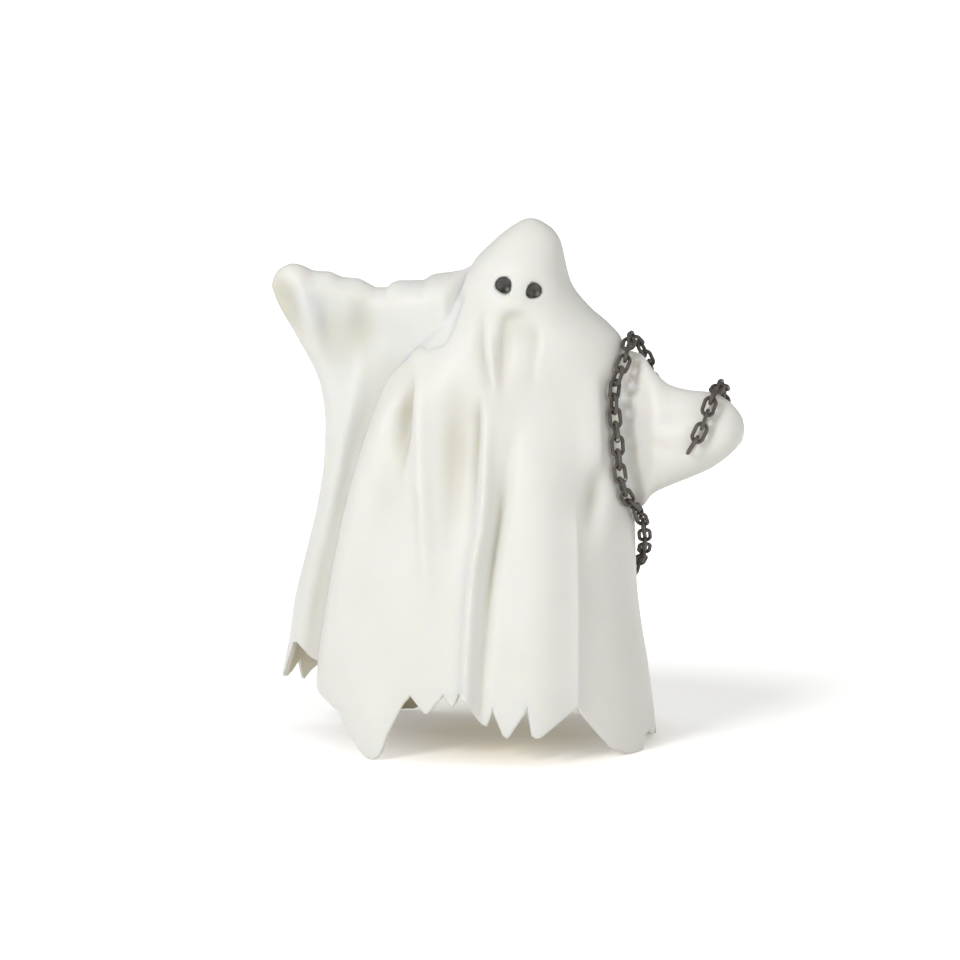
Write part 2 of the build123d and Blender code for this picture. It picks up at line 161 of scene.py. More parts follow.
# the sheet over the head and body, in millimetres
drape = {
    "wall": 1.8,
    "rimRound": 0.45,
    "hemWall": 1.0,
    "square": 0.9,
    "crown": (4.0, 90.0),
    "rings": [  # height, left, right, front, rear
        (0.0, -33.0, 25.9, 22.6, 22.4), (6.0, -32.9, 25.2, 22.2, 21.9), (13.0, -32.5, 24.3, 21.4, 21.0),
        (22.0, -31.2, 22.9, 20.2, 19.8), (29.0, -30.0, 22.2, 19.0, 18.4), (41.0, -27.5, 21.8, 17.2, 16.4),
        (53.0, -24.0, 21.0, 15.4, 14.6), (62.0, -20.4, 20.4, 14.0, 13.2), (69.0, -15.0, 19.6, 12.8, 12.2),
        (72.0, -12.4, 17.2, 12.3, 11.7), (74.4, -10.6, 14.4, 12.0, 11.4), (79.0, -7.6, 10.9, 11.2, 10.6),
        (82.7, -5.5, 9.9, 9.9, 9.5), (85.7, -2.6, 9.2, 7.8, 7.6), (87.8, -0.2, 8.0, 5.6, 5.5),
        (89.1, 1.7, 6.3, 3.2, 3.2), (89.7, 2.8, 5.2, 1.6, 1.6),
    ],
    "foldDepth": 1.35,
    "frontFolds": [
        # rolled left edge of the front panel
        (2, [(72, -11.5, 0, 2, 2), (66, -15.6, 0.5, 1.6, 1.4), (56, -20.7, 0.8, 1.6, 1.4),
             (41, -25.6, 0.8, 1.6, 1.6), (24, -28.9, 0.7, 1.6, 1.8), (10, -30.6, 0.3, 1.8, 2),
             (4, -31, 0, 2, 2)]),
        # pit beside it, steep on the right
        (2, [(67, -16.0, 0, 2, 0.8), (63, -16.6, -1.1, 2.2, 0.8), (58.5, -17.2, -2.2, 2.2, 0.8),
             (54, -17.6, -1.5, 2.2, 1.0), (47, -18.6, -0.4, 2.6, 1.2), (40, -19.6, 0, 3, 1.4)]),
        # narrow ridge
        (2, [(66, -14.4, 0, 1, 1.6), (60, -14.7, 0.7, 1.0, 1.7), (52, -14.6, 1.0, 0.9, 1.5),
             (42, -14.2, 0.9, 0.9, 1.4), (34, -13.8, 0.6, 1.0, 1.4), (27, -13.6, 0, 1.2, 1.6)]),
        # valley under the cheek
        (2, [(66, -8.2, 0, 2.2, 2.4), (59, -8.8, -0.8, 2.4, 2.6), (52, -9.0, -1.3, 2.4, 2.6),
             (44, -9.4, -0.9, 2.4, 2.4), (36, -10.0, -0.4, 2.2, 2.2), (28, -10.4, 0, 2, 2)]),
        # long ridge with a steep left side, down to its own torn point
        (2, [(60, -3.4, 0, 0.7, 1.6), (55, -3.7, 0.7, 0.6, 1.5), (48, -4.0, 1.2, 0.6, 1.5),
             (41, -4.5, 1.4, 0.6, 1.5), (33, -5.8, 1.5, 0.6, 1.5), (24, -6.6, 1.5, 0.6, 1.5),
             (13, -7.1, 1.3, 0.6, 1.6), (-1, -7.3, 1.0, 0.7, 1.7)]),
        (1.5, [(62, -4.8, 0, 1.2, 0.5), (57, -4.8, -0.9, 1.2, 0.4), (51, -5.0, -0.8, 1.2, 0.4),
               (44, -5.4, -0.4, 1.2, 0.4), (38, -5.8, 0, 1.2, 0.4)]),
        # dark valley on its right
        (2, [(57, 1.2, 0, 1.6, 1.2), (48, -0.2, -0.9, 1.4, 1.1), (42, -1.0, -1.6, 1.2, 1.0),
             (33, -2.4, -1.5, 1.1, 0.9), (27, -3.1, -1.2, 1.1, 0.9), (16, -4.0, -0.9, 1.1, 0.9),
             (-1, -4.6, -0.6, 1.1, 1)]),
        # broad front panel with an arris on its right
        (2, [(64, 5.4, 0, 4, 5), (54, 5.2, 0.8, 4.2, 5.4), (45, 4.8, 1.6, 4.4, 5.8),
             (34, 4.6, 2.0, 4.8, 5.8), (20, 4.4, 2.0, 5.0, 6), (-1, 4.2, 1.6, 5.0, 6)]),
        (1, [(44, 11.0, 0, 3, 2.6), (38, 11.0, 0.7, 3.2, 2.6), (28, 11.1, 1.0, 3.4, 2.8),
             (14, 11.2, 0.9, 3.4, 3), (4, 11.3, 0.4, 3.4, 3), (-1, 11.4, 0, 3, 3)]),
        # upright band under the shoulder
        (2, [(66, 14.4, 0, 2.6, 1.4), (60, 14.8, 0.7, 2.6, 1.2), (53, 15.0, 0.8, 2.4, 1.0),
             (47, 15.4, 0, 2.2, 1.2)]),
        # mouth hollow: left leg, right leg, cheek crease and the icicle beside it
        (2, [(76, 0.2, 0, 0.9, 1.8), (73.5, -0.5, -0.6, 0.9, 1.7), (69, -0.8, -0.85, 0.8, 1.5),
             (65.5, -0.8, -0.5, 0.8, 1.2), (61, -0.6, 0, 0.8, 1)]),
        (2, [(74.5, 4.8, 0, 1.3, 0.9), (71, 5.0, -0.45, 1.3, 0.8), (67, 4.4, -0.3, 1.2, 0.8),
             (62, 4.0, 0, 1.2, 1)]),
        (2, [(77.5, -4.4, 0, 1.2, 0.7), (73, -4.6, -0.4, 1.2, 0.6), (69, -4.3, -0.55, 1.1, 0.5),
             (65, -3.6, -0.5, 1.0, 0.5), (61.5, -2.8, 0, 0.9, 0.5)]),
        (2, [(74, -2.9, 0, 0.8, 0.8), (70, -2.9, 0.5, 0.7, 0.7), (66, -2.5, 0.6, 0.6, 0.6),
             (62, -1.9, 0, 0.5, 0.5)]),
    ],
    "frontSwells": [
        (2.1, 72.6, 2.8, 2.6, 0, -0.6), (1.4, 74.7, 2.3, 1.1, 0, -0.5), (1.2, 77.0, 3.4, 1.2, -6, 0.35),
        (-0.7, 80.2, 2.1, 1.9, 0, -0.35), (4.5, 79.3, 2.0, 1.8, 0, -0.35),
        (14.8, 44.0, 1.7, 4.2, -8, -1.0), (16.2, 37.6, 3.4, 3.2, 0, 0.6),
        (-22.5, 44.0, 3.0, 9.0, 12, -0.35), (17.5, 66.5, 3.0, 3.0, 0, 0.35),
        (-8.5, 14.0, 2.6, 3.5, 0, 0.3), (-24.0, 8.0, 4.0, 6.0, 0, 0.4),
        (2.5, 59.0, 8.0, 8.0, 0, -0.55), (-6.0, 70.0, 3.0, 6.0, 14, -0.35),
    ],
    "rearFolds": [
        (2, [(70, -11, 0, 2, 2.6), (58, -13, 0.9, 2.2, 2.8), (40, -15.5, 1.4, 2.4, 3.2),
             (18, -17.4, 1.5, 2.6, 3.4), (-1, -18, 1.3, 2.8, 3.4)]),
        (2, [(62, -8.2, 0, 1.4, 1.4), (50, -8.8, -0.9, 1.4, 1.6), (30, -10.6, -1.3, 1.4, 1.7),
             (-1, -11.8, -1, 1.5, 1.7)]),
        (2, [(76, -1.6, 0, 2, 1.6), (62, -3.0, 1.0, 2.2, 1.3), (44, -4.2, 1.6, 2.4, 1.3),
             (20, -5.2, 1.7, 2.6, 1.4), (-1, -5.6, 1.5, 2.6, 1.5)]),
        (2, [(58, 0.8, 0, 1.2, 1.4), (44, 0.8, -1.0, 1.2, 1.5), (24, 0.6, -1.4, 1.2, 1.7),
             (-1, 0.4, -1.1, 1.3, 1.8)]),
        (2, [(72, 6.0, 0, 2.2, 2.6), (56, 6.2, 1.1, 2.2, 2.8), (36, 7.0, 1.7, 2.4, 3),
             (12, 8.2, 1.7, 2.6, 3.2), (-1, 8.6, 1.5, 2.6, 3.2)]),
        (2, [(54, 13.6, 0, 1.5, 1.3), (38, 14.2, -1.0, 1.5, 1.3), (16, 15.6, -1.1, 1.6, 1.4),
             (-1, 16, -0.9, 1.6, 1.4)]),
        (2, [(64, -19, 0, 1.6, 1.6), (48, -20.6, -0.8, 1.6, 1.6), (24, -23.4, -1.0, 1.8, 1.8),
             (-1, -24.8, -0.8, 1.8, 1.8)]),
    ],
    "rearSwells": [
        (4.0, 74.0, 6.0, 2.4, 0, -0.5), (-6.0, 66.0, 4.0, 4.0, 0, 0.3), (13.0, 65.0, 3.0, 4.0, 0, 0.3),
    ],
    "frontHem": [
        (-36.0, 10.4), (-30.8, 8.5), (-28.6, 7.2), (-26.8, 3.9), (-25.0, 1.3), (-24.0, 0.3),
        (-23.0, 0.0), (-22.2, 0.4), (-21.4, 1.9), (-20.6, 4.4), (-17.9, 9.9), (-16.4, 11.6),
        (-13.7, 8.4), (-10.6, 12.0), (-9.2, 9.7), (-7.9, 12.4), (-3.7, 6.3), (-2.3, 10.1), (-0.3, 4.5),
        (3.5, 10.1), (4.1, 4.9), (4.8, 4.7), (11.5, 9.4), (14.4, 5.8), (17.6, 1.5), (20.0, 0.2),
        (22.6, -0.3), (23.2, 2.4), (24.2, 2.7), (24.8, 1.4), (25.6, 2.6), (30.0, 3.0),
    ],
    "rearHem": [
        (-36.0, 10.4), (-29.0, 7.0), (-24.0, 3.0), (-20.0, 0.2), (-16.0, 0.2), (-12.0, 9.4),
        (-9.0, 5.2), (-5.0, 10.8), (-1.5, 4.2), (2.4, 10.4), (6.6, 5.6), (9.0, 9.6), (12.4, 0.3),
        (17.2, 0.3), (20.4, 7.0), (22.6, 2.6), (24.4, 0.6), (30.0, 0.4),
    ],
    "eyes": [(-0.7, 79.9, 1.34), (4.5, 79.0, 1.24)],
    "eyeWobble": 0.07,
    "eyePit": 1.5,
    "eyeEdge": 0.3,
    "columns": 360,
    "rows": 185,
    "innerRows": 30,
    "eyeLobes": 3,
    "eyePhase": 2,
    "rearColumns": 240,
    "rearRows": 123,
    "innerBend": 1.3,
    # the seam: gap of each half to its plane, and sines between which the folds fade in
    "seamGap": 0.02,
    "seamFade": (0.02, 0.3),
    "crownFade": (86.0, 89.5),
    # the hem: its line's samples, the bell that rounds it, where it is read and how it is let go of
    "hemSpan": (-36.0, 30.0),
    "hemSamples": 1321,
    "hemBell": 9,
    "hemProbe": 6.0,
    "hemBend": 7,
    "hemRise": 7.0,
    "rimSteps": 7,
    # share of the painted warm inner shade that the rim takes
    "rimInsideShade": 0.35,
    # extra rows and their spread, at the face and at the hem
    "faceHeight": 78.5,
    "faceCrowd": (2.4, 7.0),
    "hemCrowd": (0.8, 8.0),
    "crowdSamples": 2000,
    # lean of the sheet: step of its slope, most that it counts, and the depth beside the sheet
    "leanStep": 0.05,
    "leanMost": 2.5,
    "offSheet": -40.0,
}

crownRing = (drape["crown"][1], drape["crown"][0], drape["crown"][0], 0.0, 0.0)
ringTable = np.array(drape["rings"] + [crownRing])
ringGrowth = np.hypot(np.diff(ringTable[:, 0]), np.diff((ringTable[:, 2] - ringTable[:, 1]) / 2))
ringClimb = np.concatenate([[0.0], np.cumsum(ringGrowth)])


# climb up the sheet at a height
def climbAt(height):
    return np.interp(height, ringTable[:, 0], ringClimb)


# left edge of the sheet at a height
def bodyLeft(height):
    return np.interp(height, ringTable[:, 0], ringTable[:, 1])


# a ring's height, middle, half width, front depth and rear depth at a climb up the sheet
def ringAt(climb):
    columns = (through(ringClimb, ringTable[:, k], climb) for k in range(5))
    height, left, right, front, rear = columns
    return height, (left + right) / 2, (right - left) / 2, front, rear


# point of the plain sheet: turn 0 is the left edge and pi the right one, side -1 front, 1 rear
def drapePoint(turn, climb, side):
    height, middle, half, front, rear = ringAt(climb)
    cosine, sine = np.cos(turn), np.abs(np.sin(turn))
    x = middle - half * np.sign(cosine) * np.abs(cosine) ** drape["square"]
    y = side * np.where(side < 0, front, rear) * sine ** drape["square"]
    return np.stack([x, y, height], -1)


# how far the folds and the face raise the sheet at a place seen from the front or rear
def drapeRise(x, z, side):
    if side > 0:
        return foldRise(drape["rearFolds"], x, z) + swellRise(drape["rearSwells"], x, z)
    folds, swells = foldRise(drape["frontFolds"], x, z), swellRise(drape["frontSwells"], x, z)
    return drape["foldDepth"] * (folds + swells)


# the eyes' pits: full depth within a slightly three-cornered rim, eased out across its edge
def eyePits(x, z):
    total = np.zeros_like(x)
    edge = drape["eyeEdge"]
    for midX, midZ, radius in drape["eyes"]:
        bearing = np.arctan2(z - midZ, x - midX)
        wave = np.sin(drape["eyeLobes"] * bearing + drape["eyePhase"] * midX)
        away = np.hypot(x - midX, z - midZ) / (1 + drape["eyeWobble"] * wave)
        total -= drape["eyePit"] * (1 - ease(radius - edge, radius + edge, away))
    return total


# depth of the plain sheet in front of or behind the seam at a place seen from the front, and its sine
def plainDepth(x, z, side):
    _, middle, half, front, rear = ringAt(climbAt(z))
    across = np.clip(np.abs(x - middle) / np.maximum(half, tiny), 0, 1) ** (1 / drape["square"])
    sine = np.sqrt(np.maximum(1 - across**2, 0))
    return np.where(side < 0, front, rear) * sine ** drape["square"], sine


# the same with its folds: a rise square to the sheet reaches further along y where the sheet leans
def drapeDepth(x, z, side):
    step = drape["leanStep"]
    depth, sine = plainDepth(x, z, side)
    leanX = (plainDepth(x + step, z, side)[0] - plainDepth(x - step, z, side)[0]) / (2 * step)
    leanZ = (plainDepth(x, z + step, side)[0] - plainDepth(x, z - step, side)[0]) / (2 * step)
    lean = np.minimum(np.sqrt(1 + leanX**2 + leanZ**2), drape["leanMost"])
    lift = drapeRise(x, z, side) * ease(*drape["seamFade"], sine)
    return np.where(sine > 0, depth + lift * lean, drape["offSheet"])


# height of the torn hem: straight runs between its knots, rounded over by a sliding bell
def hemHeight(table, x):
    knots = np.array(table)
    fine = np.linspace(*drape["hemSpan"], drape["hemSamples"])
    line = np.interp(fine, knots[:, 0], knots[:, 1])
    bell = np.hanning(drape["hemBell"])
    padded = np.pad(line, drape["hemBell"] // 2, mode="edge")
    rounded = np.convolve(padded, bell / bell.sum(), mode="valid")
    return np.interp(x, fine, rounded)


# shares of the whole climb for the rows, crowded by bells at the hem and, in front, at the face
def crowdedRows(rows, side):
    reach = np.linspace(0, 1, drape["crowdSamples"])
    level = reach * ringClimb[-1]
    faceMore, faceSpread = drape["faceCrowd"]
    hemMore, hemSpread = drape["hemCrowd"]
    fromFace = level - climbAt(drape["faceHeight"])
    crowd = 1 + faceMore * np.exp(-((fromFace / faceSpread) ** 2)) * (side < 0)
    crowd = crowd + hemMore * np.exp(-((level / hemSpread) ** 2))
    share = np.cumsum(crowd) - crowd[0]
    return np.interp(np.linspace(0, share[-1], rows), share, reach)


# half of the sheet: rows from hem to crown raised by the folds, a wall within and a round rim
def buildDrape(name, side, hem, rows, columns, material, nodes):
    wall, thin, gap = drape["wall"], drape["hemWall"], drape["seamGap"]
    turn = np.linspace(0, math.pi, columns)
    low = drapePoint(turn, np.full(columns, drape["hemProbe"]), side)
    start = np.maximum(hemHeight(hem, low[:, 0]) + drape["rimRound"], drape["rimRound"])
    start = climbAt(start)
    v = crowdedRows(rows, side)[:, None]
    climb = ringClimb[-1] * v + start[None, :] * (1 - v) ** drape["hemBend"]
    turns = np.broadcast_to(turn, climb.shape)
    plain = drapePoint(turns, climb, side)
    normal = gridNormals(plain, -side)
    normal[-1] = (0, 0, 1)
    rise = drapeRise(plain[..., 0], plain[..., 2], side) * ease(*drape["seamFade"], np.sin(turns))
    rise = rise * (1 - ease(*drape["crownFade"], plain[..., 2]))
    pits = eyePits(plain[..., 0], plain[..., 2]) if side < 0 else np.zeros_like(rise)
    outer = plain + normal * (rise + pits)[..., None]
    outer[..., 1] += side * gap
    # the inner face follows a wall further in, on fewer rows and without the pits
    skin = plain + normal * rise[..., None]
    skin[..., 1] += side * gap
    fewer = np.linspace(0, 1, drape["innerRows"]) ** drape["innerBend"] * (rows - 1)
    pick = np.unique(np.round(fewer).astype(int))
    thick = thin + (wall - thin) * ease(0, drape["hemRise"], climb - start[None, :])
    inner = (skin - normal * thick[..., None])[pick][::-1]
    inner[..., 1] = side * np.maximum(side * inner[..., 1], gap)
    # the torn rim is a half round between the two faces, square to the hem's own line
    edge = np.gradient(outer[0], axis=0)
    outwards = np.cross(normal[0], edge)
    outwards /= np.maximum(np.linalg.norm(outwards, axis=1, keepdims=True), tiny)
    outwards *= np.sign((outwards * (outer[0] - outer[1])).sum(1, keepdims=True))
    angle = np.linspace(math.pi, 0, drape["rimSteps"])[1:-1, None, None]
    middle = (outer[0] + inner[-1]) / 2
    rim = middle + normal[0] * thin / 2 * np.cos(angle)
    rim = rim + outwards * drape["rimRound"] * np.sin(angle)
    rim[..., 1] = side * np.maximum(side * rim[..., 1], gap)
    rim[..., 2] = np.maximum(rim[..., 2], 0)
    points = np.concatenate([outer, inner, rim])
    index = np.arange(points.shape[0] * columns).reshape(-1, columns)
    # the crown is one point outside and one inside, and each edge of the seam is closed by one face
    index[rows - 1] = index[rows - 1, 0]
    index[rows] = index[rows, 0]
    faces = facesBetween(index, wrapRows=True, flip=side > 0)
    for column in (0, -1):
        ring = index[:, column].tolist()
        faces.append(ring if (column == 0) == (side < 0) else ring[::-1])
    # painted shade marks: the crease shade darkens the hollows of the folds
    innerNone, rimNone = np.zeros(inner.shape[:2]), np.zeros(rim.shape[:2])
    creaseShade = np.concatenate([creaseShadeShare(rise), innerNone, rimNone])
    # the inside mark paints warm shade on the inner wall and on part of the rim
    inside = np.concatenate([np.zeros_like(rise), innerNone + 1, rimNone + drape["rimInsideShade"]])
    marks = [("creaseShade", creaseShade.ravel()), ("inside", inside.ravel())]
    return makePiece(name, points.reshape(-1, 3), faces, material, nodes, marks)


# the raised arm and the sleeve that hangs from it: two sheets that meet at the top and the left edge
sleeve = {
    "wall": 1.0,
    "leftEdge": [
        (6, -39.0), (10.3, -38.7), (16.2, -37.6), (23.2, -36.6), (30.3, -34.9), (40.8, -32.4),
        (47.7, -31.4), (54.5, -31.1), (60.4, -31.8), (64.5, -33.2), (66.7, -34.4), (70.1, -36.2),
        (74.7, -38.8), (78.0, -40.1),
    ],
    "topEdge": [
        (-40.1, 78.0), (-39.7, 79.6), (-38.5, 81.2), (-36.4, 82.0), (-34.9, 81.7), (-32.8, 80.8),
        (-30.3, 80.6), (-27.9, 79.7), (-25.3, 79.4), (-23.6, 78.6), (-22.1, 77.9), (-20.7, 77.9),
        (-19.5, 78.7), (-18.3, 79.1), (-14.5, 79.2), (-12.5, 80.2), (-9.4, 80.7), (-7.4, 81.2),
        (-5.5, 82.3), (-4.0, 83.4),
    ],
    "frontHem": [
        (-39, 9.6), (-38.7, 11.0), (-38.1, 16.4), (-37.4, 16.6), (-36.2, 15.7), (-34.5, 14.2),
        (-32.8, 13.3), (-20, 12.6),
    ],
    "rearHem": [
        (-39, 9.6), (-38.2, 9.8), (-36.8, 11.6), (-35.7, 7.8), (-34.4, 9.4), (-32.6, 10.9), (-20, 11.4),
    ],
    "depth": [
        (6, 6.4), (16, 6.0), (28, 5.4), (41, 4.6), (53, 4.0), (62, 3.5), (69, 3.6), (75, 4.2),
        (82, 4.2),
    ],
    "middle": [(6, 5.6), (16, 5.0), (28, 4.4), (41, 3.6), (53, 3.0), (62, 2.6), (70, 2.0), (82, 1.6)],
    "rootDepth": 3.0,
    "edgeRound": 3.4,
    "rootRound": 1.3,
    "folds": [
        (2, [(70, -16.5, 0, 2.4, 4), (64, -20.4, -0.7, 2.8, 4), (53, -24.4, -1.0, 3.0, 4),
             (41, -28.0, -1.0, 3.0, 4), (29, -30.6, -1.0, 3.0, 4), (13, -33.2, -0.9, 2.8, 4),
             (6, -33.6, -0.8, 2.8, 4)]),
        (2, [(72, -23.6, 0, 1.6, 1.6), (64, -25.2, 0.5, 1.4, 1.6), (54, -27.4, 0.6, 1.3, 1.5),
             (42, -30.0, 0.4, 1.2, 1.4), (30, -32.6, 0, 1.2, 1.4)]),
    ],
    "swells": [
        (-37.6, 75.6, 2.3, 5.2, 22, -2.4), (-34.6, 76.8, 1.2, 4.0, 12, 0.7),
        (-30.8, 72.6, 1.4, 5.0, 6, -0.6), (-27.6, 74.6, 1.2, 4.0, 0, 0.25),
        (-24.2, 71.0, 1.7, 5.5, 0, -0.7), (-18.9, 74.6, 2.0, 3.4, 0, 0.55),
        (-27.4, 70.0, 5.6, 7.0, 0, -1.4),
    ],
    "columns": 170,
    "rows": 190,
    "innerRows": 40,
    "plainShare": 0.35,
    # the hem's left end, the height where its right end is read, and how far the sheets run into the body
    "hemLeft": -39.0,
    "hemLevel": 10.0,
    "intoFront": 1.2,
    "intoRear": 4.0,
    # heights between which the right edge leaves the body's side for the arm's root
    "armHeights": (64.0, 71.0),
    "rootSpan": (-24.0, -11.0),
    "rootHeights": (60.0, 68.0),
    "middleSpan": (-24.0, -10.0),
    "middleLoss": 0.8,
    "tuckSpan": (-11.0, -5.0),
    "tuck": 0.95,
    # share of the body's full depth and heights over which the arm flows into the body
    "flowBroad": (0.2, 0.55),
    "flowHeights": (62.0, 70.0),
    "sinkLeast": 0.1,
    "sinkMore": 0.9,
    "sinkSpan": (5.0, 7.5),
    "insetMost": 0.9,
    "dropFrom": 0.7,
}


# one sheet of the sleeve, from the hem to the top edge: its depth off its middle, rounded by a quarter
# circle at the left and top edges, and lifted to the body's own depth where the arm flows into it
def sleeveSheet(side, across, climb, inset):
    front = side < 0
    top = np.array(sleeve["topEdge"])
    hem = np.array(sleeve["frontHem"] if front else sleeve["rearHem"])
    into = sleeve["intoFront"] if front else sleeve["intoRear"]
    topZ = readTable(top, top[0, 0] + (top[-1, 0] - top[0, 0]) * across)
    hemX = sleeve["hemLeft"] + (bodyLeft(sleeve["hemLevel"]) + into - sleeve["hemLeft"]) * across
    low = np.interp(hemX, hem[:, 0], hem[:, 1])
    z = low[None, :] + (topZ - low)[None, :] * climb[:, None]
    left = readTable(sleeve["leftEdge"], z)
    right = bodyLeft(z) + into
    right = right + (top[-1, 0] - right) * ease(*sleeve["armHeights"], z)
    x = left + (right - left) * across[None, :]
    toLeft = np.maximum(x - left, 0)
    toTop = np.maximum(readTable(top, x) - z, 0)
    away = toLeft * toTop / np.maximum(np.hypot(toLeft, toTop), tiny)
    bulge = np.sqrt(1 - (1 - np.clip(away / sleeve["edgeRound"], 0, 1)) ** 2)
    root = ease(*sleeve["rootSpan"], x) * ease(*sleeve["rootHeights"], z)
    depth = readTable(sleeve["depth"], z) + sleeve["rootDepth"] * root
    kept = 1 - sleeve["middleLoss"] * ease(*sleeve["middleSpan"], x)
    middle = readTable(sleeve["middle"], z) * kept
    rise = np.zeros_like(x)
    if front:
        rise = foldRise(sleeve["folds"], x, z) + swellRise(sleeve["swells"], x, z)
    reach = (depth + rise) * bulge
    plain = side * middle + reach * (1 - sleeve["tuck"] * ease(*sleeve["tuckSpan"], x))
    # the arm only flows into the broad of the body; at the body's edge and below the arm it runs into it
    body = drapeDepth(x, z, side)
    full = np.interp(z, ringTable[:, 0], ringTable[:, 3 if front else 4])
    broad = ease(*sleeve["flowBroad"], body / np.maximum(full, tiny))
    flow = broad * ease(*sleeve["flowHeights"], z)
    sunk = body - sleeve["sinkLeast"] - sleeve["sinkMore"] * ease(*sleeve["sinkSpan"], body - plain)
    outer = plain + (softGreater(plain, sunk, sleeve["rootRound"]) - plain) * flow
    y = side * (outer - np.minimum(inset, sleeve["insetMost"] * np.maximum(reach, 0)))
    # at the very edges both sheets share one line
    y = np.where(bulge <= 0, middle, y)
    return np.stack([x, y, z], -1), creaseShadeShare(rise)


# front and rear sheet joined at the top and the left edge, and the same two a wall further in
def buildSleeve(name, material, nodes):
    rows, columns, wall = sleeve["rows"], sleeve["columns"], sleeve["wall"]
    even, bent = sleeve["plainShare"], 1 - sleeve["plainShare"]
    across = np.linspace(0, 1, columns)
    across = even * across + bent * across**2
    climb = np.linspace(0, 1, rows)
    climb = even * climb + bent * (1 - (1 - climb) ** 2)
    front, frontCreaseShade = sleeveSheet(-1, across, climb, 0.0)
    rear, rearCreaseShade = sleeveSheet(1, across, climb, 0.0)
    frontIn, _ = sleeveSheet(-1, across, climb, wall)
    rearIn, _ = sleeveSheet(1, across, climb, wall)
    # the inner sheets stop a wall short of the left edge and of the top edge
    drop = wall * ease(sleeve["dropFrom"], 1.0, climb)[:, None]
    for within in (frontIn, rearIn):
        within[..., 0] += wall * (1 - across) ** 2
        within[..., 2] -= drop
    pick = np.unique(np.round(np.linspace(0, rows - 1, sleeve["innerRows"])).astype(int))
    outer = np.concatenate([front, rear[::-1][1:]])
    inner = np.concatenate([rearIn[pick], frontIn[pick][::-1][1:]])
    points = np.concatenate([outer, inner])
    index = np.arange(points.shape[0] * columns).reshape(-1, columns)
    # the left edge is one line for the front and the rear sheet
    index[rows : 2 * rows - 1, 0] = index[: rows - 1, 0][::-1]
    faces = facesBetween(index, wrapRows=True)
    faces.append(index[:, -1].tolist()[::-1])
    innerNone = np.zeros(inner.shape[:2])
    # painted crease shade in the hollows of the front sheet's folds
    creaseShade = np.concatenate([frontCreaseShade, rearCreaseShade[::-1][1:], innerNone])
    # the inside mark paints warm shade on the inner sheets
    inside = np.concatenate([np.zeros(outer.shape[:2]), innerNone + 1])
    marks = [("creaseShade", creaseShade.ravel()), ("inside", inside.ravel())]
    return makePiece(name, points.reshape(-1, 3), faces, material, nodes, marks)


# the lowered arm: a tube of upright ovals that flows into the sheet at the shoulder
arm = {
    "stations": [  # x, low, high, y, half depth
        (18.0, 41.6, 66.4, -0.8, 4.0), (19.5, 40.6, 67.6, -1.5, 4.6), (22.4, 40.6, 67.2, -2.4, 5.6),
        (25.0, 43.5, 64.4, -4.5, 6.2), (27.6, 45.0, 62.2, -5.7, 6.1), (31.0, 46.6, 61.5, -6.8, 6.0),
        (34.4, 48.3, 61.3, -7.7, 5.5), (37.2, 50.4, 60.0, -8.2, 4.6), (39.0, 52.2, 58.2, -8.4, 3.2),
        (39.8, 53.4, 56.8, -8.5, 1.9), (40.1, 54.9, 55.3, -8.5, 0.3),
    ],
    "rootShare": 0.16,
    "rootRound": 1.1,
    "folds": [
        (2, [(66, 23.0, 0, 2.0, 2.0), (62, 23.2, 0.3, 2.2, 2.4), (57, 23.6, 0.35, 2.4, 2.8),
             (52, 24.2, 0.1, 2.6, 2.8), (49, 25, 0, 2.6, 2.8)]),
    ],
    "swells": [
        (28.6, 57.6, 4.2, 1.5, 24, -0.6), (26.0, 52.6, 2.6, 1.4, -8, -0.5),
        (36.2, 54.0, 2.0, 3.2, 0, 0.3), (30.5, 51.5, 4.0, 2.4, 12, 0.4),
    ],
    "columns": 170,
    "rows": 150,
    # how deep the root lies under the sheet, at least and at its start
    "sinkLeast": 0.06,
    "sinkMore": 0.8,
}


# ovals along the arm; front and rear depths join the sheet's own depth by the rounded greater of both
def buildArm(name, material, nodes):
    table = np.array(arm["stations"])
    growth = np.hypot(np.diff(table[:, 0]), np.diff(table[:, 2] - table[:, 1]) / 2)
    run = np.concatenate([[0], np.cumsum(growth)])
    share = np.linspace(0, 1, arm["rows"])[:, None]
    around = np.linspace(0, 2 * math.pi, arm["columns"], endpoint=False)[None, :]
    x, low, high, middle, half = (through(run, table[:, k], run[-1] * share) for k in range(5))
    x = x + 0 * around
    z = (low + high) / 2 - (high - low) / 2 * np.cos(around)
    side = np.where(np.sin(around) >= 0, -1, 1)
    lift = foldRise(arm["folds"], x, z) + swellRise(arm["swells"], x, z)
    lift = np.where(side < 0, lift, 0)
    reach = (half + lift) * np.abs(np.sin(around))
    sink = arm["sinkLeast"] + arm["sinkMore"] * (1 - ease(0, arm["rootShare"], share))
    body = np.where(side < 0, drapeDepth(x, z, -1), drapeDepth(x, z, 1)) - sink
    y = side * softGreater(side * middle + reach, body, arm["rootRound"])
    points = np.stack([x, y, z], -1)
    index = np.arange(x.size).reshape(x.shape)
    faces = facesBetween(index, wrapColumns=True, flip=True)
    faces.append(index[-1].tolist()[::-1])
    faces.append(index[0].tolist())
    # painted crease shade in the hollows of the arm's folds
    creaseShade = creaseShadeShare(lift)
    marks = [("creaseShade", creaseShade.ravel()), ("inside", 0 * creaseShade.ravel())]
    return makePiece(name, points.reshape(-1, 3), faces, material, nodes, marks)


# a new material with its node tree and its surface node
def newMaterial(name):
    material = bpy.data.materials.new(name)
    material.use_nodes = True
    tree = material.node_tree
    return material, tree, tree.nodes["Principled BSDF"]


